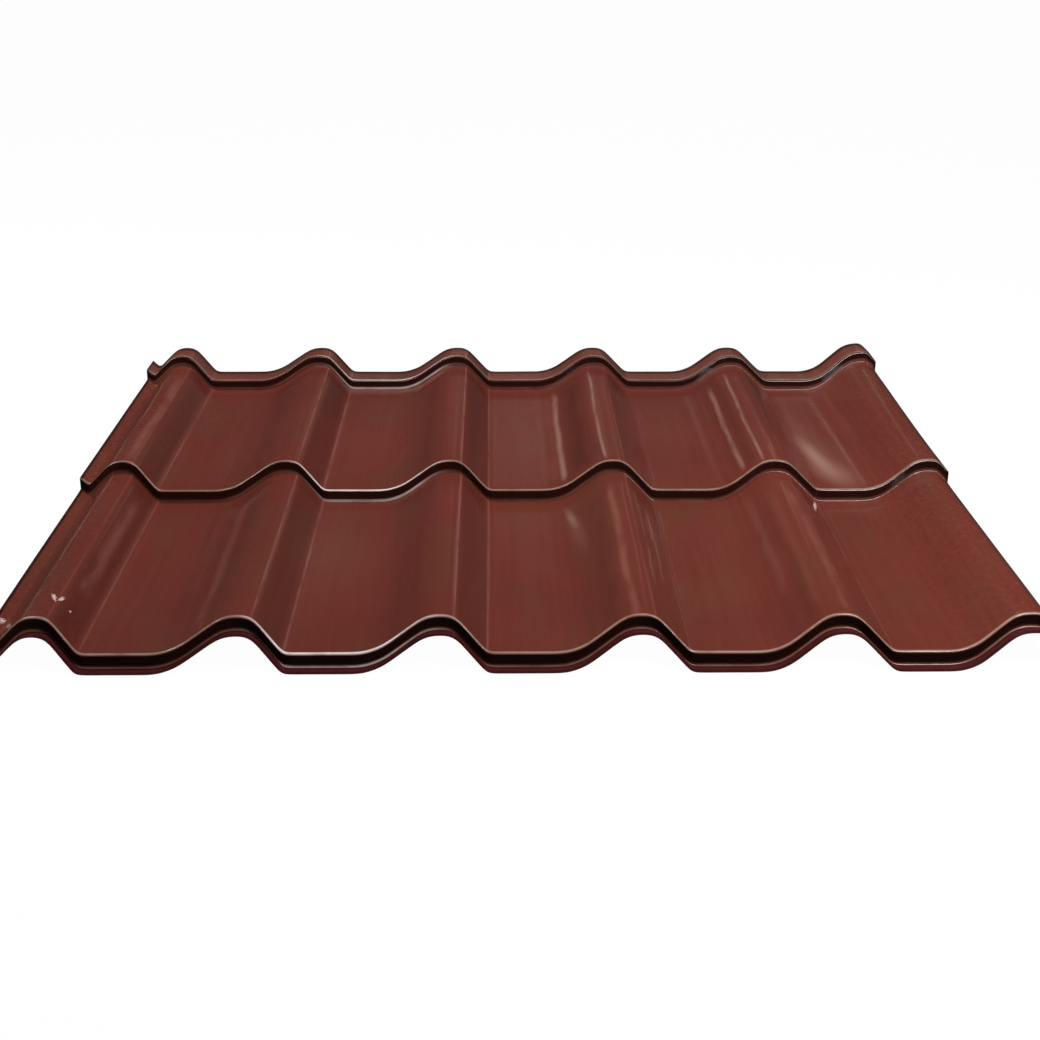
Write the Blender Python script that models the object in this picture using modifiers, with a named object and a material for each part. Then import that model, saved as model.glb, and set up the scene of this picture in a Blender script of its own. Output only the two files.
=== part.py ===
"""Two-course tile-effect roofing sheet, pressed from one piece of thin coated steel.

+X runs across the waves, +Y up the roof slope, away from the eaves edge, and +Z up.
The sheet lies the right way up on level ground. The origin is at the middle of its
footprint, on the ground. Metres throughout.
"""
import math

import bmesh
import bpy

# Coated sheet
SHEET_THICKNESS = 0.00045

# Wave across the sheet, between the corners where its straight stretches would meet
PAN_COUNT = 5
WAVE_HEIGHT = 0.030
PAN_WIDTH = 0.093
GENTLE_FLANK_RUN = 0.054
CREST_WIDTH = 0.029
STEEP_FLANK_RUN = 0.035

# Bend radii of the wave
GENTLE_FOOT_RADIUS = 0.068
GENTLE_SHOULDER_RADIUS = 0.036
STEEP_SHOULDER_RADIUS = 0.025
STEEP_FOOT_RADIUS = 0.015

# Left side: a narrower first crest, a drain trough and an upstand along the edge
FIRST_CREST_WIDTH = 0.026
OUTER_FLANK_RUN = 0.027
TROUGH_HEIGHT = 0.006
TROUGH_RADIUS = 0.006
UPSTAND_RUN = 0.012
UPSTAND_RISE = 0.008

# Right side: a narrower last pan, and a last crest that laps over the next sheet's first
LAST_PAN_WIDTH = 0.080
LAST_CREST_WIDTH = 0.026
SIDE_LAP_RUN = 0.013
SIDE_LAP_DROP = 0.012
SIDE_LAP_RADIUS = 0.015

# Tile courses up the slope. Each falls from the nose of its step to a level strip,
# which bears on the batten and takes the screws, in front of the next step.
COURSE_COUNT = 2
COURSE_LENGTH = 0.400
STEP_HEIGHT = 0.0145
STEP_LEAN = 0.0015
STEP_NOSE_RADIUS = 0.0026
STEP_FOOT_RADIUS = 0.0016
LEVEL_STRIP = 0.016
FRONT_LIP = 0.014
HEAD_LAP = 0.048

# The tile edges curve in plan, so that steps and ends lie further up the slope at crests
CREST_SET_BACK = 0.026

# Free corner at the head of the last crest, which has sprung up a little
CORNER_LIFT = 0.008

# Facets on each bend
WAVE_BEND_FACETS = 3
STEP_BEND_FACETS = 2

# Painted finish
PAINT_COLOUR = (0.110, 0.024, 0.016, 1.0)
PAINT_ROUGHNESS = 0.32


def clear_scene():
    """Remove every object, so that the sheet stands alone."""
    for thing in list(bpy.data.objects):
        bpy.data.objects.remove(thing, do_unlink=True)


def corner(line, forward, upward, radius):
    """Add a bend to a folded line, measured on from the bend before it."""
    last_along, last_height, _ = line[-1]
    line.append((last_along + forward, last_height + upward, radius))


def rounded_line(line, facets):
    """Turn corners of (distance, height, radius) into points, with an arc at each bend."""
    points = [line[0][:2]]
    for before, here, after in zip(line, line[1:], line[2:]):
        x, z, radius = here
        if not radius:
            points.append((x, z))
            continue
        side_in = math.hypot(x - before[0], z - before[1])
        side_out = math.hypot(after[0] - x, after[1] - z)
        angle_in = math.atan2(z - before[1], x - before[0])
        angle_out = math.atan2(after[1] - z, after[0] - x)
        turn = angle_out - angle_in
        # The bend takes at most half of the shorter straight stretch beside it
        tangent = min(radius * math.tan(abs(turn) / 2), side_in / 2, side_out / 2)
        bend_radius = tangent / math.tan(abs(turn) / 2)
        side = math.copysign(1, turn)
        start_x = x - tangent * math.cos(angle_in)
        start_z = z - tangent * math.sin(angle_in)
        centre_x = start_x - side * bend_radius * math.sin(angle_in)
        centre_z = start_z + side * bend_radius * math.cos(angle_in)
        for step in range(facets + 1):
            angle = angle_in + turn * step / facets
            points.append((centre_x + side * bend_radius * math.sin(angle),
                           centre_z - side * bend_radius * math.cos(angle)))
    points.append(line[-1][:2])
    return points


def wave_line():
    """The folded line across the sheet, from the upstand to the side lap."""
    line = [(0.0, TROUGH_HEIGHT + UPSTAND_RISE, 0.0)]
    corner(line, UPSTAND_RUN, -UPSTAND_RISE, TROUGH_RADIUS)
    corner(line, OUTER_FLANK_RUN, WAVE_HEIGHT - TROUGH_HEIGHT, STEEP_SHOULDER_RADIUS)
    corner(line, FIRST_CREST_WIDTH, 0.0, STEEP_SHOULDER_RADIUS)
    for pan in range(PAN_COUNT):
        last = pan == PAN_COUNT - 1
        corner(line, STEEP_FLANK_RUN, -WAVE_HEIGHT, STEEP_FOOT_RADIUS)
        corner(line, LAST_PAN_WIDTH if last else PAN_WIDTH, 0.0, GENTLE_FOOT_RADIUS)
        corner(line, GENTLE_FLANK_RUN, WAVE_HEIGHT, GENTLE_SHOULDER_RADIUS)
        if last:
            corner(line, LAST_CREST_WIDTH, 0.0, SIDE_LAP_RADIUS)
        else:
            corner(line, CREST_WIDTH, 0.0, STEEP_SHOULDER_RADIUS)
    corner(line, SIDE_LAP_RUN, -SIDE_LAP_DROP, 0.0)
    return line


def course_line():
    """The folded line up the slope: the lip, each step with its course, the head lap."""
    fall_run = COURSE_LENGTH - STEP_LEAN - LEVEL_STRIP
    head_run = HEAD_LAP - STEP_LEAN
    line = [(-FRONT_LIP, 0.0, 0.0), (0.0, 0.0, STEP_FOOT_RADIUS)]
    for _ in range(COURSE_COUNT):
        corner(line, STEP_LEAN, STEP_HEIGHT, STEP_NOSE_RADIUS)
        corner(line, fall_run, -STEP_HEIGHT, 0.0)
        corner(line, LEVEL_STRIP, 0.0, STEP_FOOT_RADIUS)
    corner(line, STEP_LEAN, STEP_HEIGHT, STEP_NOSE_RADIUS)
    corner(line, head_run, -STEP_HEIGHT * head_run / fall_run, 0.0)
    return line


def set_back(height):
    """How far up the slope the tile edges lie where the wave has this height."""
    return CREST_SET_BACK * height / WAVE_HEIGHT


def pressed_surface(wave, courses):
    """Draw the wave once, then press it out from station to station up the slope."""
    shape = bmesh.new()
    first_y, first_z = courses[0]
    verts = [shape.verts.new((x, first_y + set_back(z), z + first_z)) for x, z in wave]
    edges = [shape.edges.new(pair) for pair in zip(verts, verts[1:])]
    for (y, z), (next_y, next_z) in zip(courses, courses[1:]):
        pressed = bmesh.ops.extrude_edge_only(shape, edges=edges)["geom"]
        verts = [item for item in pressed if isinstance(item, bmesh.types.BMVert)]
        edges = [item for item in pressed if isinstance(item, bmesh.types.BMEdge)]
        bmesh.ops.translate(shape, verts=verts, vec=(0.0, next_y - y, next_z - z))
    shape.normal_update()
    if sum(face.normal.z for face in shape.faces) < 0:
        bmesh.ops.reverse_faces(shape, faces=shape.faces)
    return shape


def ease(share):
    """Rise smoothly from 0 to 1 as share does."""
    share = min(max(share, 0.0), 1.0)
    return share * share * (3 - 2 * share)


def spring_corner(shape, right_edge, head_edge):
    """Lift the free corner at the head of the side lap, fading along both edges."""
    lifted_width = LAST_CREST_WIDTH + GENTLE_FLANK_RUN + SIDE_LAP_RUN
    for vert in shape.verts:
        across = ease((vert.co.x - right_edge + lifted_width) / lifted_width)
        along = ease((vert.co.y - head_edge + COURSE_LENGTH) / COURSE_LENGTH)
        vert.co.z += CORNER_LIFT * across * along


def paint():
    """Glossy red-brown coil coating."""
    material = bpy.data.materials.new("red_brown_coating")
    material.use_nodes = True
    shader = material.node_tree.nodes["Principled BSDF"]
    shader.inputs["Base Color"].default_value = PAINT_COLOUR
    shader.inputs["Roughness"].default_value = PAINT_ROUGHNESS
    shader.inputs["Metallic"].default_value = 0.0
    return material


def roof_sheet(collection):
    """Press the sheet, centre it on its footprint and give it its thickness."""
    wave = rounded_line(wave_line(), WAVE_BEND_FACETS)
    courses = rounded_line(course_line(), STEP_BEND_FACETS)
    shape = pressed_surface(wave, courses)
    right_edge, head_edge = wave[-1][0], courses[-1][0] + CREST_SET_BACK
    spring_corner(shape, right_edge, head_edge)
    middle_x = (wave[0][0] + right_edge) / 2
    middle_y = (courses[0][0] + head_edge) / 2
    # The surface is the middle of the metal, so it lies half a thickness off the ground
    bmesh.ops.translate(shape, verts=shape.verts,
                        vec=(-middle_x, -middle_y, SHEET_THICKNESS / 2))
    mesh = bpy.data.meshes.new("roof_sheet")
    shape.to_mesh(mesh)
    shape.free()
    mesh.materials.append(paint())
    sheet = bpy.data.objects.new("roof_sheet", mesh)
    collection.objects.link(sheet)
    metal = sheet.modifiers.new("metal", "SOLIDIFY")
    metal.thickness = SHEET_THICKNESS
    metal.offset = 0.0
    metal.use_even_offset = True
    return sheet


def main():
    clear_scene()
    collection = bpy.data.collections.new("tile_effect_roofing_sheet")
    bpy.context.scene.collection.children.link(collection)
    roof_sheet(collection)


main()
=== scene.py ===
"""Dressed model of a two-course tile-effect roofing sheet, coated red-brown on steel.

The sheet is drawn as folded lines with rounded bends, pressed out up the slope, and
finished with a glossy coil coating, a dull backing coat and bare cut edges. The coating's
colour also holds painted highlights, reflections, sheens and shade.
"""
import math
from functools import reduce
from operator import add

import bmesh
import bpy
from bpy.props import FloatProperty, FloatVectorProperty, IntProperty, PointerProperty
from mathutils import Euler, Matrix, Vector, noise


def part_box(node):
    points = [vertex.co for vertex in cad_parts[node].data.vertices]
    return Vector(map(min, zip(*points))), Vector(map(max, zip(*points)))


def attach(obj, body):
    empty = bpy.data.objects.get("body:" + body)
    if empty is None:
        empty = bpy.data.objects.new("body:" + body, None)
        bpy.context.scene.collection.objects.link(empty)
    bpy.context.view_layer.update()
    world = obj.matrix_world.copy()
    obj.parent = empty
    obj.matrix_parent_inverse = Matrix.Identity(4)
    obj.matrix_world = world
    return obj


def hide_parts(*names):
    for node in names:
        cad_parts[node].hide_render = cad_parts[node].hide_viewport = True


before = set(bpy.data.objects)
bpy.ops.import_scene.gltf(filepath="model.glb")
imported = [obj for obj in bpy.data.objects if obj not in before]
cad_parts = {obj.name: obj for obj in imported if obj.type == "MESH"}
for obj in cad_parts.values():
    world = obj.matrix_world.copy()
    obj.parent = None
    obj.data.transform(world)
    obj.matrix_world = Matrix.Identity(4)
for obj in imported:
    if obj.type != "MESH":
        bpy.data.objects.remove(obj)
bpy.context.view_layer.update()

bl_info = {
    "name": "Tile Effect Roofing Sheet",
    "version": (1, 0, 0),
    "blender": (4, 5, 0),
    "location": "View3D > Sidebar > Roofing",
    "description": "Pressed and coated tile-effect roofing sheet on a studio floor",
    "category": "Add Mesh",
}

CAD_NODE = "roof_sheet"
SHEET_LOW, SHEET_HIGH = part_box(CAD_NODE)


def length(name, description, default):
    """A length in metres that a user can change."""
    return FloatProperty(name=name, description=description, default=default,
                         min=0.0, unit="LENGTH", precision=5)


def colour(name, description, default):
    """A linear colour that a user can change."""
    return FloatVectorProperty(name=name, description=description, default=default,
                               subtype="COLOR", size=3, min=0.0, max=1.0)


class SheetSizes(bpy.types.PropertyGroup):
    """Folded sizes of the sheet, between the corners where its straight stretches meet."""
    thickness: length("Thickness", "Coated steel", 0.00045)
    pan_count: IntProperty(name="Pans", description="Pans across the sheet", default=5, min=1)
    wave_height: length("Wave height", "Pan to crest", 0.030)
    pan_width: length("Pan", "Width of a pan", 0.093)
    gentle_run: length("Gentle flank", "Run of the flank that rises from a pan", 0.054)
    crest_width: length("Crest", "Width of a crest", 0.029)
    steep_run: length("Steep flank", "Run of the flank that falls to the next pan", 0.035)
    gentle_foot: length("Gentle foot", "Bend radius", 0.068)
    gentle_shoulder: length("Gentle shoulder", "Bend radius", 0.036)
    steep_shoulder: length("Steep shoulder", "Bend radius", 0.025)
    steep_foot: length("Steep foot", "Bend radius", 0.015)
    first_crest: length("First crest", "Width of the first crest", 0.026)
    outer_run: length("Outer flank", "Run of the flank from the trough to the first crest", 0.027)
    trough_height: length("Trough", "Height of the drain trough", 0.006)
    trough_bend: length("Trough bend", "Bend radius", 0.006)
    upstand_run: length("Upstand run", "Run of the upstand", 0.012)
    upstand_rise: length("Upstand rise", "Rise of the upstand", 0.008)
    last_pan: length("Last pan", "Width of the last pan", 0.080)
    last_crest: length("Last crest", "Width of the last crest", 0.026)
    side_lap_run: length("Side lap run", "Run of the turned-down edge", 0.013)
    side_lap_drop: length("Side lap drop", "Drop of the turned-down edge", 0.012)
    side_lap_bend: length("Side lap bend", "Bend radius", 0.015)
    course_count: IntProperty(name="Courses", description="Tile courses", default=2, min=1)
    course_length: length("Course", "Length of a tile course", 0.400)
    step_height: length("Step", "Height of a pressed step", 0.0145)
    step_lean: length("Step lean", "How far a step leans up the slope", 0.0015)
    step_nose: length("Nose", "Bend radius", 0.0026)
    step_foot: length("Foot", "Bend radius", 0.0016)
    level_strip: length("Level strip", "Level strip in front of a step", 0.016)
    front_lip: length("Front lip", "Strip in front of the first step", 0.014)
    head_lap: length("Head lap", "Strip behind the last step", 0.048)
    set_back: length("Set-back", "How far the tile edges lie up the slope at the crests", 0.026)
    corner_lift: length("Corner lift", "Spring of the free corner at the head", 0.008)


class SheetFinish(bpy.types.PropertyGroup):
    """Colours of the coated steel and of its painted highlights and shade, and how far it wanders
    from flat.
    """
    coating: colour("Coating", "Red-brown top coat", (0.150, 0.0310, 0.0210))
    backing: colour("Backing", "Dull grey-brown coat underneath", (0.20, 0.17, 0.145))
    edge: colour("Cut edge", "Zinc and steel of the cut edges", (0.10, 0.075, 0.07))
    # Pale colour of the scuffs, and of one painted glint among them
    scuff_and_glint: colour("Scuff", "Scraped coating", (0.68, 0.50, 0.46))
    # Pale coat where the noses are worn, also the colour of painted highlights, sheens and
    # reflection lines
    wear_and_highlight: colour("Worn coat", "Coat stretched thin and pale", (0.45, 0.27, 0.205))
    # Colour of the painted highlight on the noses and feet of the brightest pan
    bright_edge: colour("Bright edge", "Brightest worn edges", (0.90, 0.78, 0.76))
    browned: colour("Browned coat", "Browner places in the coat", (0.125, 0.044, 0.024))
    # Colour of the painted highlight and sheen lines along the ribs
    stretched: colour("Stretched coat", "Coat drawn thin along the ribs", (0.38, 0.155, 0.115))
    # Colour of the painted shade on the front lip
    lip: colour("Lip", "Darker coat of the front lip", (0.084, 0.0125, 0.0145))
    waviness: length("Waviness", "How far the thin sheet wanders from flat", 0.0003)


class StudioSettings(bpy.types.PropertyGroup):
    """Camera, floor and lights."""
    lens: FloatProperty(name="Lens", description="Focal length", default=50.24, unit="CAMERA")
    floor_colour: colour("Floor", "Pale floor", (0.02, 0.02, 0.02))
    floor_glow: FloatProperty(name="Floor glow", default=0.98,
                              description="Light of its own that the floor gives")
    dome: FloatProperty(name="Dome", description="Strength of the light all round", default=0.03)


class Field:
    """A socket whose value changes over a surface, with Python's arithmetic."""

    def __init__(self, recipe, socket):
        self.recipe = recipe
        self.socket = socket

    def maths(self, operation, *values):
        return self.recipe.node("Math", {"operation": operation}, values)

    def __add__(self, other):
        return self.maths("ADD", self, other)

    def __sub__(self, other):
        return self.maths("SUBTRACT", self, other)

    def __rsub__(self, other):
        return self.maths("SUBTRACT", other, self)

    def __mul__(self, other):
        return self.maths("MULTIPLY", self, other)

    def __truediv__(self, other):
        return self.maths("DIVIDE", self, other)

    def __pow__(self, other):
        return self.maths("POWER", self, other)

    def __abs__(self):
        return self.maths("ABSOLUTE", self)

    __radd__ = __add__
    __rmul__ = __mul__

    def top(self, other):
        """The larger of two values."""
        return self.maths("MAXIMUM", self, other)

    def low(self, other):
        """The smaller of two values."""
        return self.maths("MINIMUM", self, other)

    def fraction(self):
        """What is left over a whole number."""
        return self.maths("FRACT", self)

    def fade(self, start, end):
        """0 at start and 1 at end, smoothly between and clamped outside."""
        settings = {"interpolation_type": "SMOOTHSTEP"}
        return self.recipe.node("MapRange", settings, [self, start, end, 0.0, 1.0])


class Recipe:
    """A material, and the one method that adds any node to it."""

    def __init__(self, name):
        self.material = bpy.data.materials.new(name)
        self.material.use_nodes = True
        self.tree = self.material.node_tree
        self.shader = self.tree.nodes["Principled BSDF"]

    def node(self, kind, settings=None, values=(), output=0):
        """Add a node, set it up, and give its inputs their values or links."""
        node = self.tree.nodes.new("ShaderNode" + kind)
        for name, value in (settings or {}).items():
            setattr(node, name, value)
        pairs = values.items() if isinstance(values, dict) else enumerate(values)
        for place, value in pairs:
            self.give(node.inputs[place], value)
        return Field(self, node.outputs[output])

    def give(self, socket, value):
        """Link a field to a socket, or set the socket's value."""
        if isinstance(value, Field):
            self.tree.links.new(value.socket, socket)
        else:
            socket.default_value = value

    def finish(self, **sockets):
        """Set the shader's sockets, named with underscores for spaces."""
        for name, value in sockets.items():
            self.give(self.shader.inputs[name.replace("_", " ")], value)
        return self.material

    def place(self):
        """The point on the surface, in the sheet's own frame."""
        return self.node("TexCoord", output="Object")

    def axes(self, point):
        """How far across, up the slope and off the ground a point is."""
        split = self.node("SeparateXYZ", values=[point]).socket.node
        return [Field(self, socket) for socket in split.outputs]

    def patch(self, point, centre, half_size, turn):
        """0 at the middle of an oval patch, turned by degrees, and 1 at its rim."""
        values = {"Vector": point, "Location": centre, "Scale": half_size,
                  "Rotation": (0.0, 0.0, math.radians(turn))}
        local = self.node("Mapping", {"vector_type": "TEXTURE"}, values)
        return self.node("VectorMath", {"operation": "LENGTH"}, [local], output="Value")

    def speckle(self, point, scale, detail=2.0):
        """A cloudy pattern, finer with a larger scale."""
        values = {"Vector": point, "Scale": scale, "Detail": detail}
        return self.node("TexNoise", values=values, output="Fac")

    def streaks(self, point, fineness, detail=2.0):
        """A cloudy pattern that runs long where its fineness along an axis is small."""
        stretched = self.node("Mapping", values={"Vector": point, "Scale": fineness})
        return self.speckle(stretched, 1.0, detail)

    def blend(self, share, first, second):
        """A colour between two colours."""
        return self.node("Mix", {"data_type": "RGBA"}, {0: share, 6: first, 7: second}, output=2)

    def bumped(self, height, distance, normal=None):
        """The surface's normal with a relief added to it."""
        values = {"Height": height, "Distance": distance, "Strength": 1.0}
        if normal is not None:
            values["Normal"] = normal
        return self.node("Bump", values=values, output="Normal")


def total(fields):
    """The sum of several fields."""
    return reduce(add, fields)


def solid(rgb):
    """A colour with its alpha."""
    return (*rgb, 1.0)


def shade(rgb, factor):
    """A colour with its alpha, made darker or lighter."""
    return solid([channel * factor for channel in rgb])


# How finely the sheet is divided: degrees of a bend per facet, and the longest straight
# stretch, across the waves and up the slope, and the fewest facets of any bend
WAVE_FACET, COURSE_FACET = 5.5, 8.5
WAVE_SPACING, COURSE_SPACING = 0.0046, 0.016
FEWEST_FACETS = 4
# Rounds of smoothing that let each rib's bends ease into its flats, as rolled steel does
WAVE_EASING = 5
# Bend radius where a course's fall meets its level strip
FALL_BEND = 0.05
# Turns sharper than this are creases
SHARP_ANGLE = math.radians(40)
# How far each point of the sheet lies from the front edge, measured along the folds
FOLD_LENGTH = "fold_length"
# Wander from flat: fineness of the noise across and up the slope, its layer and its share
WANDERS = (
    (6.5, 4.5, 3.0, 1.5),
    (24.0, 9.0, 8.0, 0.5),
)
# Puckers that the press left on a falling flank: across from and to, up the slope from and
# to, and their height
PUCKERS = (
    (0.128, 0.192, -0.330, -0.030, 0.00075),
    (0.342, 0.400, -0.220, -0.030, 0.00065),
    (0.325, 0.375, 0.005, 0.090, 0.00030),
    (-0.300, -0.240, -0.180, -0.030, 0.00022),
    (-0.090, -0.030, -0.160, -0.030, 0.00020),
)
# Puckers side by side, how closely they lie at their front, and how much they spread
# towards the step behind
PUCKER_COUNT = 3.5
PUCKER_CLOSENESS, PUCKER_SPREAD = 1.25, 0.5
# How fast they rise from their front, and end at their back
PUCKER_RISE, PUCKER_END = 1.6, 8


def folded_wire(corners, facet):
    """A wire through corners of (distance, height, bend radius), with its bends rounded."""
    wire = bmesh.new()
    verts = [wire.verts.new((along, 0.0, height)) for along, height, _ in corners]
    for pair in zip(verts, verts[1:]):
        wire.edges.new(pair)
    places = [vert.co.copy() for vert in verts]
    for index in range(1, len(corners) - 1):
        radius = corners[index][2]
        if not radius:
            continue
        side_in = places[index] - places[index - 1]
        side_out = places[index + 1] - places[index]
        turn = side_in.angle(side_out)
        offset = min(radius * math.tan(turn / 2), side_in.length / 2, side_out.length / 2)
        segments = max(FEWEST_FACETS, round(math.degrees(turn) / facet))
        bmesh.ops.bevel(wire, geom=[verts[index]], offset=offset, offset_type="OFFSET",
                        affect="VERTICES", segments=segments, profile=0.5, material=-1)
    return wire


def cut_long_edges(wire, spacing):
    """Divide the straight stretches, so that the surface can carry its waviness."""
    by_cuts = {}
    for edge in wire.edges:
        cuts = math.ceil(edge.calc_length() / spacing) - 1
        if cuts > 0:
            by_cuts.setdefault(cuts, []).append(edge)
    for cuts, edges in by_cuts.items():
        bmesh.ops.subdivide_edges(wire, edges=edges, cuts=cuts)


def corner(line, forward, upward, radius):
    """Add a bend to a folded line, measured on from the bend before it."""
    last_along, last_height, _ = line[-1]
    line.append((last_along + forward, last_height + upward, radius))


def wave_corners(sizes):
    """The folded line across the sheet, from the upstand to the side lap."""
    line = [(SHEET_LOW[0] + sizes.thickness / 3, sizes.trough_height + sizes.upstand_rise, 0)]
    corner(line, sizes.upstand_run, -sizes.upstand_rise, sizes.trough_bend)
    corner(line, sizes.outer_run, sizes.wave_height - sizes.trough_height, sizes.steep_shoulder)
    corner(line, sizes.first_crest, 0, sizes.steep_shoulder)
    for pan in range(sizes.pan_count):
        last = pan == sizes.pan_count - 1
        corner(line, sizes.steep_run, -sizes.wave_height, sizes.steep_foot)
        corner(line, sizes.last_pan if last else sizes.pan_width, 0, sizes.gentle_foot)
        corner(line, sizes.gentle_run, sizes.wave_height, sizes.gentle_shoulder)
        corner(line, sizes.last_crest if last else sizes.crest_width, 0,
               sizes.side_lap_bend if last else sizes.steep_shoulder)
    corner(line, sizes.side_lap_run, -sizes.side_lap_drop, 0)
    return line


def steep_flanks(sizes):
    """Where across the sheet each falling flank has its shoulder and its foot."""
    first_shoulder, corners_per_wave, side_lap_corners = 3, 4, 2
    shoulders = wave_corners(sizes)[first_shoulder:-side_lap_corners:corners_per_wave]
    return [(across, across + sizes.steep_run) for across, _, _ in shoulders]


def fall_run(sizes):
    """How far a course runs from its nose to its level strip."""
    return sizes.course_length - sizes.step_lean - sizes.level_strip


def course_corners(sizes):
    """The folded line up the slope: the lip, each step with its course, the head lap."""
    run = fall_run(sizes)
    head_run = sizes.head_lap - sizes.step_lean
    line = [(SHEET_LOW[1], 0, 0)]
    corner(line, sizes.front_lip, 0, sizes.step_foot)
    for _ in range(sizes.course_count):
        corner(line, sizes.step_lean, sizes.step_height, sizes.step_nose)
        corner(line, run, -sizes.step_height, FALL_BEND)
        corner(line, sizes.level_strip, 0, sizes.step_foot)
    corner(line, sizes.step_lean, sizes.step_height, sizes.step_nose)
    corner(line, head_run, -sizes.step_height * head_run / run, 0)
    return line


def riser_fold(sizes):
    """Folded height of a step, from its foot to its nose."""
    return math.hypot(sizes.step_lean, sizes.step_height)


def course_fold(sizes):
    """Folded length of one course, from its nose to the next nose."""
    fall = math.hypot(fall_run(sizes), sizes.step_height)
    return fall + sizes.level_strip + riser_fold(sizes)


def nose_fold(sizes, step):
    """Folded length from the front edge to the nose of a step, counted from 1."""
    return sizes.front_lip + riser_fold(sizes) + course_fold(sizes) * (step - 1)


def pressed_surface(sizes):
    """Press the wave out from station to station up the slope."""
    shape = folded_wire(wave_corners(sizes), WAVE_FACET)
    cut_long_edges(shape, WAVE_SPACING)
    inner = [vert for vert in shape.verts if len(vert.link_edges) == 2]
    for _ in range(WAVE_EASING):
        bmesh.ops.smooth_vert(shape, verts=inner, factor=0.5,
                              use_axis_x=True, use_axis_y=True, use_axis_z=True)
    course = folded_wire(course_corners(sizes), COURSE_FACET)
    cut_long_edges(course, COURSE_SPACING)
    stations = sorted((vert.co.x, vert.co.z) for vert in course.verts)
    course.free()
    fold_length = shape.verts.layers.float.new(FOLD_LENGTH)
    verts, edges = shape.verts[:], shape.edges[:]
    for vert in verts:
        vert.co.y = sizes.set_back * vert.co.z / sizes.wave_height
    bmesh.ops.translate(shape, verts=verts, vec=(0.0, stations[0][0], stations[0][1]))
    travelled = 0.0
    for (y, z), (next_y, next_z) in zip(stations, stations[1:]):
        pressed = bmesh.ops.extrude_edge_only(shape, edges=edges)["geom"]
        verts = [item for item in pressed if isinstance(item, bmesh.types.BMVert)]
        edges = [item for item in pressed if isinstance(item, bmesh.types.BMEdge)]
        bmesh.ops.translate(shape, verts=verts, vec=(0.0, next_y - y, next_z - z))
        travelled += math.hypot(next_y - y, next_z - z)
        for vert in verts:
            vert[fold_length] = travelled
    bmesh.ops.recalc_face_normals(shape, faces=shape.faces)
    if sum(face.normal.z for face in shape.faces) < 0:
        bmesh.ops.reverse_faces(shape, faces=shape.faces)
    return shape


def ease(share):
    """Rise smoothly from 0 to 1 as share does."""
    share = min(max(share, 0.0), 1.0)
    return share * share * (3 - 2 * share)


def spring_corner(shape, sizes):
    """Lift the free corner at the head of the side lap, fading along both edges."""
    lifted_width = sizes.last_crest + sizes.gentle_run + sizes.side_lap_run
    right_edge, head_edge = SHEET_HIGH[0], SHEET_HIGH[1]
    for vert in shape.verts:
        across = ease((vert.co.x - right_edge + lifted_width) / lifted_width)
        along = ease((vert.co.y - head_edge + sizes.course_length) / sizes.course_length)
        vert.co.z += sizes.corner_lift * across * along


def pucker(x, y):
    """Height of the puckers at a place on the sheet."""
    height = 0.0
    for left, right, front, back, rise in PUCKERS:
        if not (left < x < right and front < y < back):
            continue
        across = (x - left) / (right - left)
        fading = (y - front) / (back - front)
        fan = (across - 0.5) * (PUCKER_CLOSENESS - PUCKER_SPREAD * fading) + 0.5
        window = math.sin(math.pi * across) * ease(fading * PUCKER_RISE)
        window *= ease((1 - fading) * PUCKER_END)
        height += rise * window * math.sin(2 * math.pi * PUCKER_COUNT * fan)
    return height


def flex(shape, sizes, waviness):
    """Let the thin sheet wander from flat, but not where it bears on the ground."""
    for vert in shape.verts:
        x, y, z = vert.co
        wander = sum(share * noise.noise(Vector((x * across, y * along, layer)))
                     for across, along, layer, share in WANDERS)
        vert.co.z += waviness * wander * ease(z / sizes.step_height)
        vert.co.z += pucker(x, y)


def make_final(piece):
    """Turn a piece's modifiers into its mesh, smooth but for its cut edges."""
    depsgraph = bpy.context.evaluated_depsgraph_get()
    mesh = bpy.data.meshes.new_from_object(piece.evaluated_get(depsgraph))
    piece.modifiers.clear()
    piece.data = mesh
    mesh.shade_smooth()
    mesh.set_sharp_from_angle(angle=SHARP_ANGLE)


class ROOF_OT_press_sheet(bpy.types.Operator):
    """Press the roofing sheet and give it its coatings"""
    bl_idname = "roof.press_sheet"
    bl_label = "Pressed Roofing Sheet"

    def execute(self, context):
        sizes = context.scene.sheet_sizes
        finish = context.scene.sheet_finish
        shape = pressed_surface(sizes)
        spring_corner(shape, sizes)
        flex(shape, sizes, finish.waviness)
        bmesh.ops.translate(shape, verts=shape.verts, vec=(0, 0, sizes.thickness / 2))
        mesh = bpy.data.meshes.new("pressed_roof_sheet")
        shape.to_mesh(mesh)
        shape.free()
        sheet = bpy.data.objects.new("pressed_roof_sheet", mesh)
        context.scene.collection.objects.link(sheet)
        for material in (top_coat(finish, sizes), backing_coat(finish), cut_edge(finish)):
            mesh.materials.append(material)
        metal = sheet.modifiers.new("metal", "SOLIDIFY")
        metal.thickness = sizes.thickness
        metal.offset = 0.0
        metal.use_even_offset = True
        metal.material_offset = 1
        metal.material_offset_rim = 2
        make_final(sheet)
        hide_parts(CAD_NODE)
        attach(sheet, "root")
        return {"FINISHED"}


# Patterns in the coat: fineness across, up the slope and upwards
ROLLING_STREAKS = (170.0, 3.0, 60.0)
BROWNER_PLACES = (16.0, 6.0, 20.0)
LINE_BREAKUP = (60.0, 14.0, 60.0)
SLOW_DRIFT = (2.0, 7.0, 2.0)
DRAW_MARKS = (110.0, 5.0, 60.0)
# Patterns that are alike every way: their scale
CLOUDS = 4.5
GRAIN = 1100.0
BLOTCHES = 150.0
PATCHY_WEAR = 38.0
RAGGED_RIMS = 520.0
ORANGE_PEEL = 650.0
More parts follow.
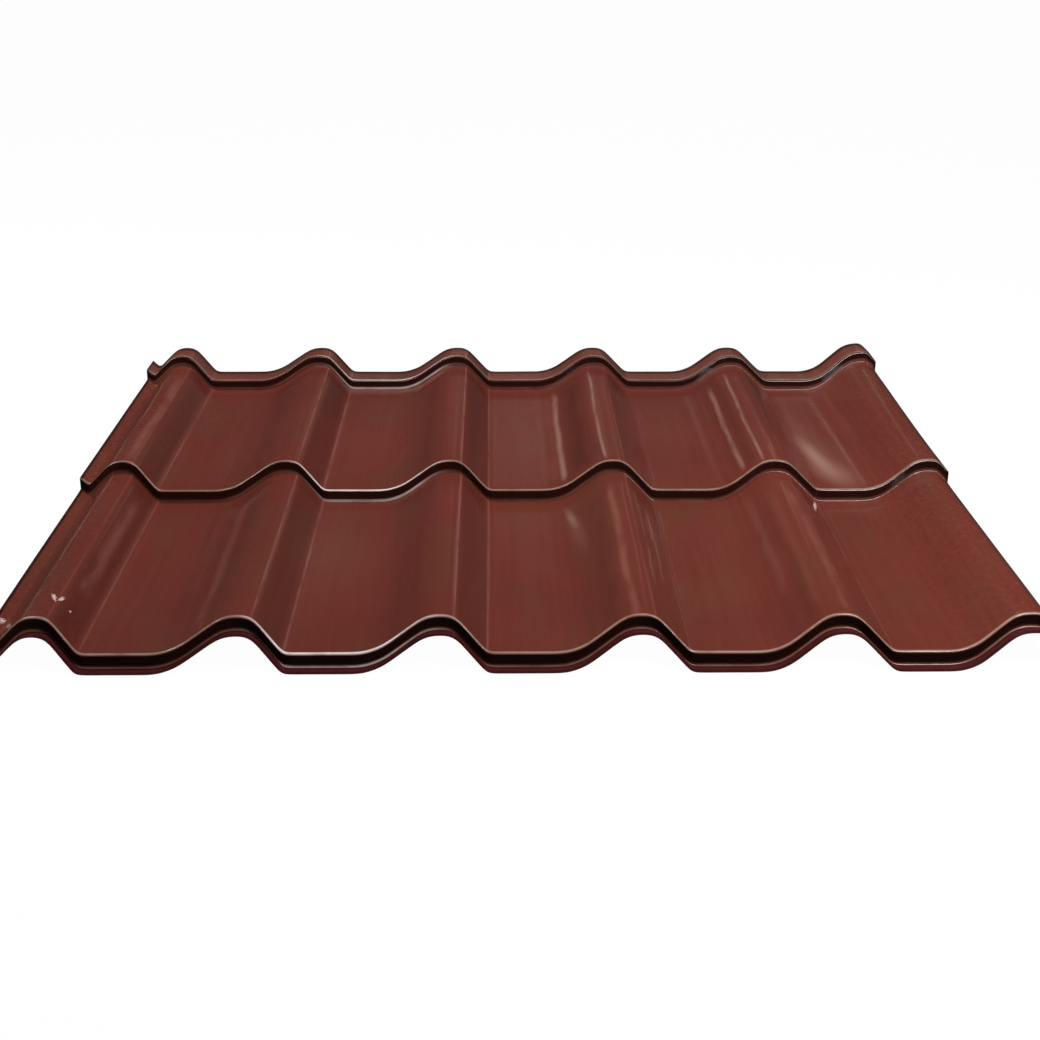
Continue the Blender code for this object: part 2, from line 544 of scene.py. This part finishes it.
# Colours made from others: the darkest and lightest rolled coat, its dull bloom, painted shade,
# painted dark reflections along the ribs, and painted shade at the lower edge of the lip
ROLLED_DARK, ROLLED_LIGHT = 0.86, 1.14
BLOOM_SHADE = 1.8
PAINTED_SHADE_TONE = 0.12
DARK_REFLECTION_TONE = 0.35
HEM_SHADE = 0.3
# Where a pattern starts to count and where it counts in full: for the rolled tone, the
# browner places, the bloom, the breakup of the painted lines along the ribs, and the patchy
# wear and painted highlights on the steps
TONE_TURN = (0.3, 0.7)
BROWN_TURN = (0.45, 0.7)
BLOTCH_TURN = (0.42, 0.75)
UNEVEN_TURN = (0.2, 0.6)
PATCHY_TURN = (0.3, 0.62)
# Shares of the clouds, streaks and grain in the rolled tone, and of the browning and bloom
CLOUD_SHARE, STREAK_SHARE, GRAIN_SHARE = 0.45, 0.3, 0.25
BROWN_SHARE, BLOOM_SHARE = 0.4, 0.3
# How far out the bloom starts, and where it is full
BLOOM_REACH = (0.40, 0.555)
# How far from a nose or a foot the wear and painted highlight start to fade, and where they
# end, and how much of them there is where they are thinnest
NOSE_WEAR_AND_HIGHLIGHT = (0.00135, 0.0030)
FOOT_HIGHLIGHT = (0.00104, 0.0026)
BRIGHT_FOOT_HIGHLIGHT = (0.00065, 0.0026)
LEAST_PATCH_SHARE = 0.55
# Share of the painted highlight in a foot, what the front foot has more, and where that ends,
# as a multiple of the first nose's distance from the front edge
FOOT_SHARE, FRONT_FOOT_SHARE, FRONT_END = 0.30, 0.45, 1.2
# The pan whose noses and feet carry the brightest painted highlight: its middle, and where
# that fades out, the share of the pale wear and highlight outside it, and the share of the
# brightest colour inside
BRIGHT_PAN, BRIGHT_REACH = -0.19, (0.06, 0.12)
PLAIN_SHARE, BRIGHT_SHARE = 0.75, 0.9
# Where painted shade starts and where it ends on a riser, as shares of the way up from its foot
RISER_SHADE_START, RISER_SHADE_END = (0.0, 0.28), (0.82, 0.97)
# How far from a side edge and from the head edge a painted dark outline starts, and where it
# is full
SIDE_OUTLINE = (0.0042, 0.0021)
HEAD_OUTLINE = (0.0210, 0.0126)
RISER_SHADE_SHARE, OUTLINE_SHARE = 0.9, 0.85
# How much paler the head strip is at its nose, a painted highlight, and how near the nose that
# starts
HEAD_HIGHLIGHT, HEAD_HIGHLIGHT_START = 0.10, 0.001
# Where the front lip's painted shade and its darker painted hem end, as shares of the lip, and
# how dark they are
LIP_END, LIP_SHARE = (0.8, 0.95), 0.85
HEM_END, HEM_SHARE = (0.2, 0.55), 0.7
# How ragged the scuffs and the painted glint are, and where their rims start and end
RAGGEDNESS, MARK_RIM = 2.6, (1.75, 2.15)
# Heights of the draw marks and of the coat's fine orange peel, the least share of the
# marks, and where in a course they start to grow and are full
DRAW_MARK_HEIGHT, PEEL_HEIGHT = 0.00020, 0.000008
LEAST_PULL, PULL_TURN = 0.25, (0.55, 1.0)
# Roughness of the clean coat, and what its rolled patterns and its dulled places add
CLEAN_ROUGHNESS, ROLLED_ROUGHNESS, DULL_ROUGHNESS = 0.125, 0.06, 0.3
# Pale rubbed marks, the last of them a painted glint: middle on the sheet, half width and half
# length, turn in degrees
SCUFFS_AND_GLINT = (
    ((-0.4982, -0.3541, 0.042), (0.0026, 0.0095, 0.006), 24.0),
    ((-0.4908, -0.3533, 0.039), (0.0026, 0.0080, 0.006), -20.0),
    ((-0.4792, -0.3660, 0.030), (0.0013, 0.0026, 0.005), 0.0),
    ((-0.5516, -0.3698, 0.022), (0.0040, 0.0060, 0.006), 0.0),
    ((-0.5403, -0.3852, 0.025), (0.0022, 0.0050, 0.006), 0.0),
    # A painted glint at the steep foot in front of the middle step
    ((0.3770, -0.0640, 0.009), (0.0028, 0.0300, 0.009), -13.2),
)
# Painted reflection lines along the ribs: across, half width, from and to up the
# slope, and how much paler they are
REFLECTION_LINES = (
    (0.0615, 0.0060, -0.015, 0.350, 0.48),
    (0.1145, 0.0036, 0.000, 0.385, 0.46),
    (0.2945, 0.0050, -0.010, 0.350, 0.40),
    (0.3200, 0.0034, -0.005, 0.370, 0.38),
)
# Painted highlight and sheen lines along the ribs, measured the same way
SHEEN_LINES = (
    (0.0480, 0.0200, -0.010, 0.340, 0.10),
    (0.1180, 0.0075, -0.420, -0.030, 0.30),
    (0.1490, 0.0024, -0.330, -0.050, 0.28),
    (0.1610, 0.0028, -0.300, -0.060, 0.38),
    (0.2925, 0.0080, -0.330, -0.035, 0.13),
    (0.3180, 0.0085, -0.380, -0.030, 0.09),
    (0.3430, 0.0080, -0.400, -0.040, 0.22),
    (-0.5190, 0.0030, -0.420, 0.350, 0.42),
    (-0.4990, 0.0090, 0.000, 0.360, 0.30),
    (-0.4780, 0.0090, -0.330, -0.050, 0.26),
    (-0.3400, 0.0090, -0.420, -0.060, 0.22),
)
# Broader bands of painted dark reflection, measured the same way
DARK_REFLECTIONS = (
    (0.0860, 0.0190, 0.000, 0.370, 0.40),
    (0.3070, 0.0080, 0.000, 0.370, 0.25),
    (0.3080, 0.0090, -0.420, -0.040, 0.16),
    (0.0970, 0.0180, -0.420, -0.050, 0.24),
    (-0.1900, 0.0700, 0.360, 0.600, 0.55),
    (-0.1200, 0.0160, 0.000, 0.370, 0.16),
    (-0.3750, 0.0130, -0.420, -0.050, 0.16),
)
# How far a line takes to start at its front and to end at its back, and how far it wanders
LINE_START, LINE_END = 0.03, 0.05
LINE_WANDER = 0.010
# Painted sheens in soft patches: middle, half width and half length, turn in degrees, strength
PAINTED_SHEENS = (
    ((0.4080, 0.0900, 0.004), (0.0190, 0.1050, 0.030), 8.0, 0.50),
    ((0.4200, 0.0300, 0.004), (0.0380, 0.0800, 0.030), 13.0, 0.36),
    ((0.4150, 0.1000, 0.004), (0.0500, 0.2000, 0.030), 10.0, 0.12),
    ((0.0670, -0.1000, 0.003), (0.0075, 0.0500, 0.030), 9.0, 0.34),
    ((0.0740, -0.1500, 0.004), (0.0140, 0.1100, 0.030), 6.0, 0.14),
    ((0.1600, -0.1500, 0.012), (0.0060, 0.0900, 0.030), 3.0, 0.12),
    ((-0.2200, -0.1900, 0.006), (0.0900, 0.2300, 0.030), 0.0, 0.05),
)
# How much paler each falling flank's shoulder and foot are, a painted highlight, from the first
# crest on
RIB_HIGHLIGHTS = ((0.15, 0.26), (0.42, 0.36), (0.42, 0.30), (0.22, 0.12), (0.18, 0.18))
RIB_HIGHLIGHT_WIDTH = 0.0026
# How much painted shade darkens each falling flank, from the first crest on, and where it
# starts to thin out and ends, measured from the flank's middle in halves of the flank
FLANK_SHADE = (0.30, 0.22, 0.18, 0.04)
FLANK_SHADE_REACH = (0.55, 1.1)


def painted_lines(table, across, along, unevenness):
    """How far a table's painted lines along the ribs cover each place."""
    lines = []
    for middle, half_width, front, back, strength in table:
        narrow = 1 - abs(across - middle).fade(0.0, half_width)
        reach = along.fade(front, front + LINE_START) * (1 - along.fade(back - LINE_END, back))
        lines.append(narrow * reach * unevenness * strength)
    return total(lines)


def rib_highlights(across, sizes):
    """How far the painted highlight on each falling flank's shoulder and foot covers each place.
    """
    return total((1 - abs(across - place).fade(0.0, RIB_HIGHLIGHT_WIDTH)) ** 2 * strength
                 for flank, strengths in zip(steep_flanks(sizes), RIB_HIGHLIGHTS)
                 for place, strength in zip(flank, strengths))


def flank_shade(across, sizes):
    """How far painted shade darkens each falling flank between its shoulder and its foot."""
    half = sizes.steep_run / 2
    full, none = (half * reach for reach in FLANK_SHADE_REACH)
    return total((1 - abs(across - (shoulder + half)).fade(full, none)) * strength
                 for (shoulder, _), strength in zip(steep_flanks(sizes), FLANK_SHADE))


def rolled_colour(recipe, finish, point, cloud, streak):
    """The coat as it left the rolls: cloudy, streaked, and browner in places."""
    grain = recipe.speckle(point, GRAIN, detail=1.0)
    tone = cloud * CLOUD_SHARE + streak * STREAK_SHARE + grain * GRAIN_SHARE
    coat = recipe.blend(tone.fade(*TONE_TURN), shade(finish.coating, ROLLED_DARK),
                        shade(finish.coating, ROLLED_LIGHT))
    browned = recipe.streaks(point, BROWNER_PLACES).fade(*BROWN_TURN) * BROWN_SHARE
    return recipe.blend(browned, coat, solid(finish.browned))


def paint_rib_light(recipe, coat, finish, sizes, point, across, along):
    """Painted shade on the falling flanks, then painted dark reflections, highlight and sheen
    lines along the ribs, and painted sheens in patches.
    """
    uneven = recipe.streaks(point, LINE_BREAKUP).fade(*UNEVEN_TURN)
    # Painted shade on the falling flanks
    coat = recipe.blend(flank_shade(across, sizes), coat, shade(finish.coating, PAINTED_SHADE_TONE))
    drift = recipe.streaks(point, SLOW_DRIFT) - 0.5
    wander = across + drift * LINE_WANDER
    # Painted dark reflections along the ribs
    dark = painted_lines(DARK_REFLECTIONS, wander, along, uneven)
    coat = recipe.blend(dark, coat, shade(finish.browned, DARK_REFLECTION_TONE))
    # Painted highlight and sheen lines along the ribs and on each flank's shoulder and foot
    thin = painted_lines(SHEEN_LINES, wander, along, uneven) + rib_highlights(across, sizes) * uneven
    coat = recipe.blend(thin, coat, solid(finish.stretched))
    # Painted reflection lines along the ribs
    drawn = painted_lines(REFLECTION_LINES, wander, along, uneven)
    coat = recipe.blend(drawn, coat, solid(finish.wear_and_highlight))
    # Painted sheens in soft patches
    for centre, half_size, turn, strength in PAINTED_SHEENS:
        rim = recipe.patch(point, centre, half_size, turn)
        coat = recipe.blend((1 - rim.fade(0.0, 1.0)) * strength, coat, solid(finish.wear_and_highlight))
    return coat


def wear_and_light_steps(recipe, coat, finish, sizes, point, across, fold, behind):
    """Pale worn coat and a painted highlight over each nose, a painted highlight in each foot,
    brightest in one pan.
    """
    course, first_nose = course_fold(sizes), nose_fold(sizes, 1)
    from_nose = behind.low(course - behind)
    from_foot = abs(behind - (course - riser_fold(sizes)))
    blotch = recipe.speckle(point, PATCHY_WEAR, detail=3.0).fade(*PATCHY_TURN)
    patchy = LEAST_PATCH_SHARE + (1 - LEAST_PATCH_SHARE) * blotch
    nose_wear_and_highlight = (1 - from_nose.fade(*NOSE_WEAR_AND_HIGHLIGHT)) * patchy
    in_front = 1 - fold.fade(first_nose, first_nose * FRONT_END)
    foot_highlight = (1 - from_foot.fade(*FOOT_HIGHLIGHT)) * patchy
    foot_highlight = foot_highlight * (FOOT_SHARE + FRONT_FOOT_SHARE * in_front)
    # Painted highlight: the noses and feet of one pan are the brightest
    bright = 1 - abs(across - BRIGHT_PAN).fade(*BRIGHT_REACH)
    bright_foot_highlight = patchy * bright * (1 - from_foot.fade(*BRIGHT_FOOT_HIGHLIGHT))
    wear_and_highlight = nose_wear_and_highlight.top(foot_highlight.top(bright_foot_highlight))
    pale = wear_and_highlight * (PLAIN_SHARE + (1 - PLAIN_SHARE) * bright)
    coat = recipe.blend(pale, coat, solid(finish.wear_and_highlight))
    return recipe.blend(wear_and_highlight * bright * BRIGHT_SHARE, coat, solid(finish.bright_edge))


def paint_edge_light_and_shade(recipe, coat, finish, sizes, across, fold, behind):
    """Painted shade on the risers, a painted dark outline on the outer edges, a painted highlight
    on the head strip and painted shade on the front lip.
    """
    riser = riser_fold(sizes)
    up_riser = (behind - (course_fold(sizes) - riser)) / riser
    # Painted shade up each riser, and a painted dark outline along the side and head edges
    riser_shade = up_riser.fade(*RISER_SHADE_START) * (1 - up_riser.fade(*RISER_SHADE_END))
    side_outline = abs(across).fade(*(SHEET_HIGH[0] - reach for reach in SIDE_OUTLINE))
    head_nose = nose_fold(sizes, sizes.course_count + 1)
    head_edge = head_nose + sizes.head_lap
    edge_outline = side_outline.top(fold.fade(*(head_edge - reach for reach in HEAD_OUTLINE)))
    painted_dark = (riser_shade * RISER_SHADE_SHARE).top(edge_outline * OUTLINE_SHARE)
    coat = recipe.blend(painted_dark, coat, shade(finish.coating, PAINTED_SHADE_TONE))

    # Painted highlight: the head strip paler at its nose, fading towards the head edge
    up_head = fold - head_nose
    on_head = up_head.fade(-HEAD_HIGHLIGHT_START, HEAD_HIGHLIGHT_START)
    head_highlight = on_head * (1 - up_head.fade(0.0, sizes.head_lap)) * HEAD_HIGHLIGHT
    coat = recipe.blend(head_highlight, coat, solid(finish.wear_and_highlight))

    # Painted shade: the front lip darker, and darker still at its lower edge
    lip = 1 - fold.fade(*(sizes.front_lip * share for share in LIP_END))
    coat = recipe.blend(lip * LIP_SHARE, coat, solid(finish.lip))
    hem = 1 - fold.fade(*(sizes.front_lip * share for share in HEM_END))
    return recipe.blend(hem * HEM_SHARE, coat, shade(finish.lip, HEM_SHADE))


def scuff_and_glint_marks(recipe, point):
    """How far the ragged scuffs and the one painted glint cover each place."""
    ragged = recipe.speckle(point, RAGGED_RIMS, detail=3.0)
    marks = [1 - (recipe.patch(point, *scuff_and_glint) + ragged * RAGGEDNESS).fade(*MARK_RIM)
             for scuff_and_glint in SCUFFS_AND_GLINT]
    return reduce(Field.top, marks)


def top_coat(finish, sizes):
    """Glossy red-brown coil coating, streaked the way the sheet was rolled, with painted light
    and shade in its colour.
    """
    recipe = Recipe("red_brown_coating")
    point = recipe.place()
    across, along, _ = recipe.axes(point)
    fold = recipe.node("Attribute", {"attribute_name": FOLD_LENGTH}, output="Fac")
    courses = (fold - nose_fold(sizes, 1)) / course_fold(sizes)
    behind = courses.fraction() * course_fold(sizes)
    cloud = recipe.speckle(point, CLOUDS, detail=3.0)
    streak = recipe.streaks(point, ROLLING_STREAKS, detail=3.0)
    coat = rolled_colour(recipe, finish, point, cloud, streak)

    # Dull bloom that breaks up towards the side edges
    blotch = recipe.speckle(point, BLOTCHES, detail=3.0).fade(*BLOTCH_TURN)
    bloom = abs(across).fade(*BLOOM_REACH) * blotch * BLOOM_SHARE
    coat = recipe.blend(bloom, coat, shade(finish.coating, BLOOM_SHADE))

    # Painted shade, dark reflections, highlights and sheens along the ribs
    coat = paint_rib_light(recipe, coat, finish, sizes, point, across, along)
    # Pale worn noses, with painted highlights on the noses and feet
    coat = wear_and_light_steps(recipe, coat, finish, sizes, point, across, fold, behind)
    # Painted shade on the risers and lip, a painted dark outline, and a painted highlight on the
    # head strip
    coat = paint_edge_light_and_shade(recipe, coat, finish, sizes, across, fold, behind)
    # Real scuffs and one painted glint
    scuffs_and_glint = scuff_and_glint_marks(recipe, point)
    coat = recipe.blend(scuffs_and_glint, coat, solid(finish.scuff_and_glint))

    # Shallow draw marks, strongest in front of each step where the press pulled the metal
    pulled = (behind / course_fold(sizes)).fade(*PULL_TURN)
    marks = recipe.streaks(point, DRAW_MARKS)
    relief = recipe.bumped(marks * (LEAST_PULL + pulled), DRAW_MARK_HEIGHT)
    relief = recipe.bumped(recipe.speckle(point, ORANGE_PEEL), PEEL_HEIGHT, normal=relief)

    rough = CLEAN_ROUGHNESS + ROLLED_ROUGHNESS * cloud + ROLLED_ROUGHNESS * streak
    rough = rough + bloom * DULL_ROUGHNESS + scuffs_and_glint * DULL_ROUGHNESS
    return recipe.finish(Base_Color=coat, Roughness=rough, Normal=relief)


def backing_coat(finish):
    """Dull coat on the underside."""
    recipe = Recipe("backing_coat")
    return recipe.finish(Base_Color=solid(finish.backing), Roughness=0.55)


def cut_edge(finish):
    """Bare edge of zinc and steel."""
    recipe = Recipe("cut_edge")
    return recipe.finish(Base_Color=solid(finish.edge), Roughness=0.45, Metallic=0.8)


# Soft boxes: middle, aim, width and height, and power in watts
SOFT_BOXES = {
    "left": ((-1.40, 0.75, 1.50), (-0.84, 0.0, 0.0), (0.25, 1.0), 18.0),
    "right": ((0.85, -0.48, 1.35), (0.55, -0.1, 0.0), (0.25, 0.8), 17.0),
    "rear": ((0.60, 0.45, 1.60), (0.40, 0.1, 0.0), (1.0, 0.9), 6.0),
    "bar": ((0.0, 0.50, 1.70), (0.0, 0.0, 0.0), (2.4, 0.22), 4.0),
    "spot": ((-0.36, 0.30, 1.65), (-0.20, 0.0, 0.0), (0.30, 0.30), 4.0),
}
# Far panels behind the sheet, which its bends mirror: compass bearing from straight up the
# slope and elevation in degrees, width and height in degrees, and brightness
FAR_PANELS = {
    "far_right": (14.0, 19.8, (0.9, 1.8), 4.0),
    "far_middle": (1.3, 19.0, (3.0, 3.0), 0.40),
    "far_low": (3.0, 10.5, (20.0, 10.0), 0.13),
}
FAR_DISTANCE = 8.0
WHITE = (1.0, 1.0, 1.0)
FAR_TINT = (1.0, 0.80, 0.68)
MIDDLE = (0.0, 0.0, 0.0)
FLOOR_REACH = 30

# The camera: its place, and how far it looks down, turns and rolls
CAMERA_PLACE = (-0.0296, -1.7166, 0.7959)
CAMERA_TILT = math.radians(25.977)
CAMERA_TURN = math.radians(-1.150)
CAMERA_ROLL = math.radians(0.351)
SENSOR_WIDTH = 36.0


def lay_floor(context, studio):
    """A pale floor that the glossy sheet doesn't mirror."""
    shape = bmesh.new()
    bmesh.ops.create_grid(shape, x_segments=1, y_segments=1, size=FLOOR_REACH)
    mesh = bpy.data.meshes.new("studio_floor")
    shape.to_mesh(mesh)
    shape.free()
    floor = bpy.data.objects.new("studio_floor", mesh)
    context.scene.collection.objects.link(floor)
    recipe = Recipe("pale_floor")
    mesh.materials.append(recipe.finish(
        Base_Color=solid(studio.floor_colour), Roughness=0.9, Specular_IOR_Level=0.1,
        Emission_Color=solid(WHITE), Emission_Strength=studio.floor_glow))
    floor.visible_glossy = False
    floor.visible_diffuse = False


def hang_panel(context, name, place, aim, size, power, tint=WHITE):
    """Hang a panel of light, out of the camera's sight, and aim it."""
    box = bpy.data.lights.new(name, "AREA")
    box.color = tint
    box.shape = "RECTANGLE"
    box.size, box.size_y = size
    box.energy = power
    lamp = bpy.data.objects.new(name, box)
    turn = (Vector(aim) - Vector(place)).to_track_quat("-Z", "Y").to_matrix()
    lamp.matrix_world = Matrix.Translation(place) @ turn.to_4x4()
    lamp.visible_camera = False
    context.scene.collection.objects.link(lamp)


def set_lights(context, studio):
    """Light the sheet all round, from soft boxes, and from far panels that it mirrors."""
    world = bpy.data.worlds.new("studio")
    context.scene.world = world
    world.use_nodes = True
    background = world.node_tree.nodes["Background"]
    background.inputs["Color"].default_value = solid(WHITE)
    background.inputs["Strength"].default_value = studio.dome
    for name, (place, aim, size, power) in SOFT_BOXES.items():
        hang_panel(context, name, place, aim, size, power)
    for name, (bearing, elevation, angles, brightness) in FAR_PANELS.items():
        direction = Euler((math.radians(elevation), 0.0, math.radians(-bearing))).to_matrix()
        place = direction @ Vector((0.0, FAR_DISTANCE, 0.0))
        width, height = (2 * FAR_DISTANCE * math.tan(math.radians(angle) / 2) for angle in angles)
        power = brightness * math.pi * width * height
        hang_panel(context, name, place, MIDDLE, (width, height), power, FAR_TINT)


def set_camera(context, studio):
    """Set the camera where the sheet fills the frame from edge to edge."""
    data = bpy.data.cameras.new("camera")
    data.lens = studio.lens
    data.sensor_width = SENSOR_WIDTH
    data.sensor_fit = "HORIZONTAL"
    camera = bpy.data.objects.new("camera", data)
    turn = Euler((math.pi / 2 - CAMERA_TILT, 0.0, CAMERA_TURN)).to_matrix()
    turn = turn @ Matrix.Rotation(CAMERA_ROLL, 3, "Z")
    camera.matrix_world = Matrix.Translation(CAMERA_PLACE) @ turn.to_4x4()
    context.scene.collection.objects.link(camera)
    context.scene.camera = camera


class ROOF_OT_set_stage(bpy.types.Operator):
    """Lay the floor, and set the lights and the camera"""
    bl_idname = "roof.set_stage"
    bl_label = "Floor, Lights and Camera"

    def execute(self, context):
        studio = context.scene.studio_settings
        lay_floor(context, studio)
        set_lights(context, studio)
        set_camera(context, studio)
        context.scene.view_settings.view_transform = "Standard"
        return {"FINISHED"}


class ROOF_PT_panel(bpy.types.Panel):
    """Builders for the roofing sheet and its stage"""
    bl_idname = "ROOF_PT_panel"
    bl_label = "Roofing Sheet"
    bl_space_type = "VIEW_3D"
    bl_region_type = "UI"
    bl_category = "Roofing"

    def draw(self, context):
        for operator in OPERATORS:
            self.layout.operator(operator.bl_idname)


GROUPS = {
    "sheet_sizes": SheetSizes,
    "sheet_finish": SheetFinish,
    "studio_settings": StudioSettings,
}
OPERATORS = (ROOF_OT_press_sheet, ROOF_OT_set_stage)


def register():
    for kind in (*GROUPS.values(), *OPERATORS, ROOF_PT_panel):
        bpy.utils.register_class(kind)
    for name, group in GROUPS.items():
        setattr(bpy.types.Scene, name, PointerProperty(type=group))


def unregister():
    for name in GROUPS:
        delattr(bpy.types.Scene, name)
    for kind in (ROOF_PT_panel, *reversed(OPERATORS), *reversed(GROUPS.values())):
        bpy.utils.unregister_class(kind)


def main():
    """Build the sheet and its stage."""
    register()
    bpy.ops.roof.press_sheet()
    bpy.ops.roof.set_stage()


if __name__ == "__main__":
    main()
